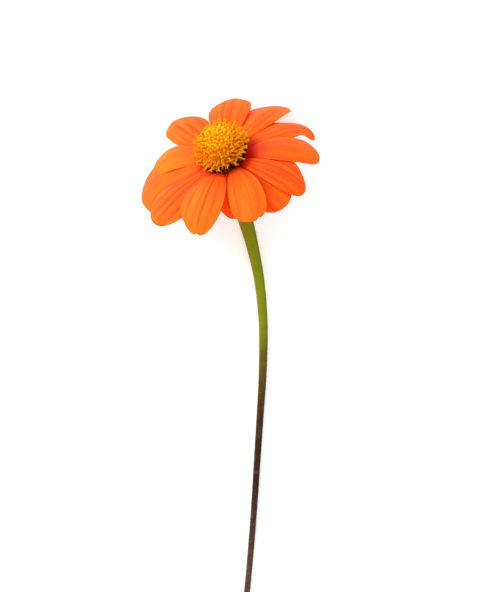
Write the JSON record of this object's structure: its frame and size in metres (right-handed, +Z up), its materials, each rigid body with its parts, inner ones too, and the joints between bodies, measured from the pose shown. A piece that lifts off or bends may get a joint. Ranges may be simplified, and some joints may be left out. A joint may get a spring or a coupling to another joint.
{
  "type": "mexican sunflower bloom",
  "caption": "Cut mexican sunflower laid on its side: one orange daisy-like bloom with a gold domed disc, a green cup of bracts and a long bare stem.",
  "frame": {"origin": "middle of the bounding box, on the surface that the flower lies on", "axes": "+Z up off the surface, +Y along the stem towards the head, +X to the right as the head is seen from above"},
  "size_m": [0.071, 0.2078, 0.0484],
  "materials": {
    "ray_petal": "satin",
    "disc_floret": "matte",
    "receptacle": "matte",
    "inner_bract": "matte",
    "outer_bract": "matte",
    "stem": "matte"
  },
  "bodies": {
    "root": {"stem": "stem", "receptacle": "receptacle", "outer_bract_1": "outer_bract", "outer_bract_2": "outer_bract", "outer_bract_3": "outer_bract", "outer_bract_4": "outer_bract", "outer_bract_5": "outer_bract", "outer_bract_6": "outer_bract", "inner_bract_1": "inner_bract", "inner_bract_2": "inner_bract", "inner_bract_3": "inner_bract", "inner_bract_4": "inner_bract", "inner_bract_5": "inner_bract", "inner_bract_6": "inner_bract", "disc_florets": "disc_floret", "ray_petal_01": "ray_petal", "ray_petal_02": "ray_petal", "ray_petal_03": "ray_petal", "ray_petal_04": "ray_petal", "ray_petal_05": "ray_petal", "ray_petal_06": "ray_petal", "ray_petal_07": "ray_petal", "ray_petal_08": "ray_petal", "ray_petal_09": "ray_petal", "ray_petal_10": "ray_petal", "ray_petal_11": "ray_petal", "ray_petal_12": "ray_petal", "ray_petal_13": "ray_petal"}
  },
  "joints": []
}
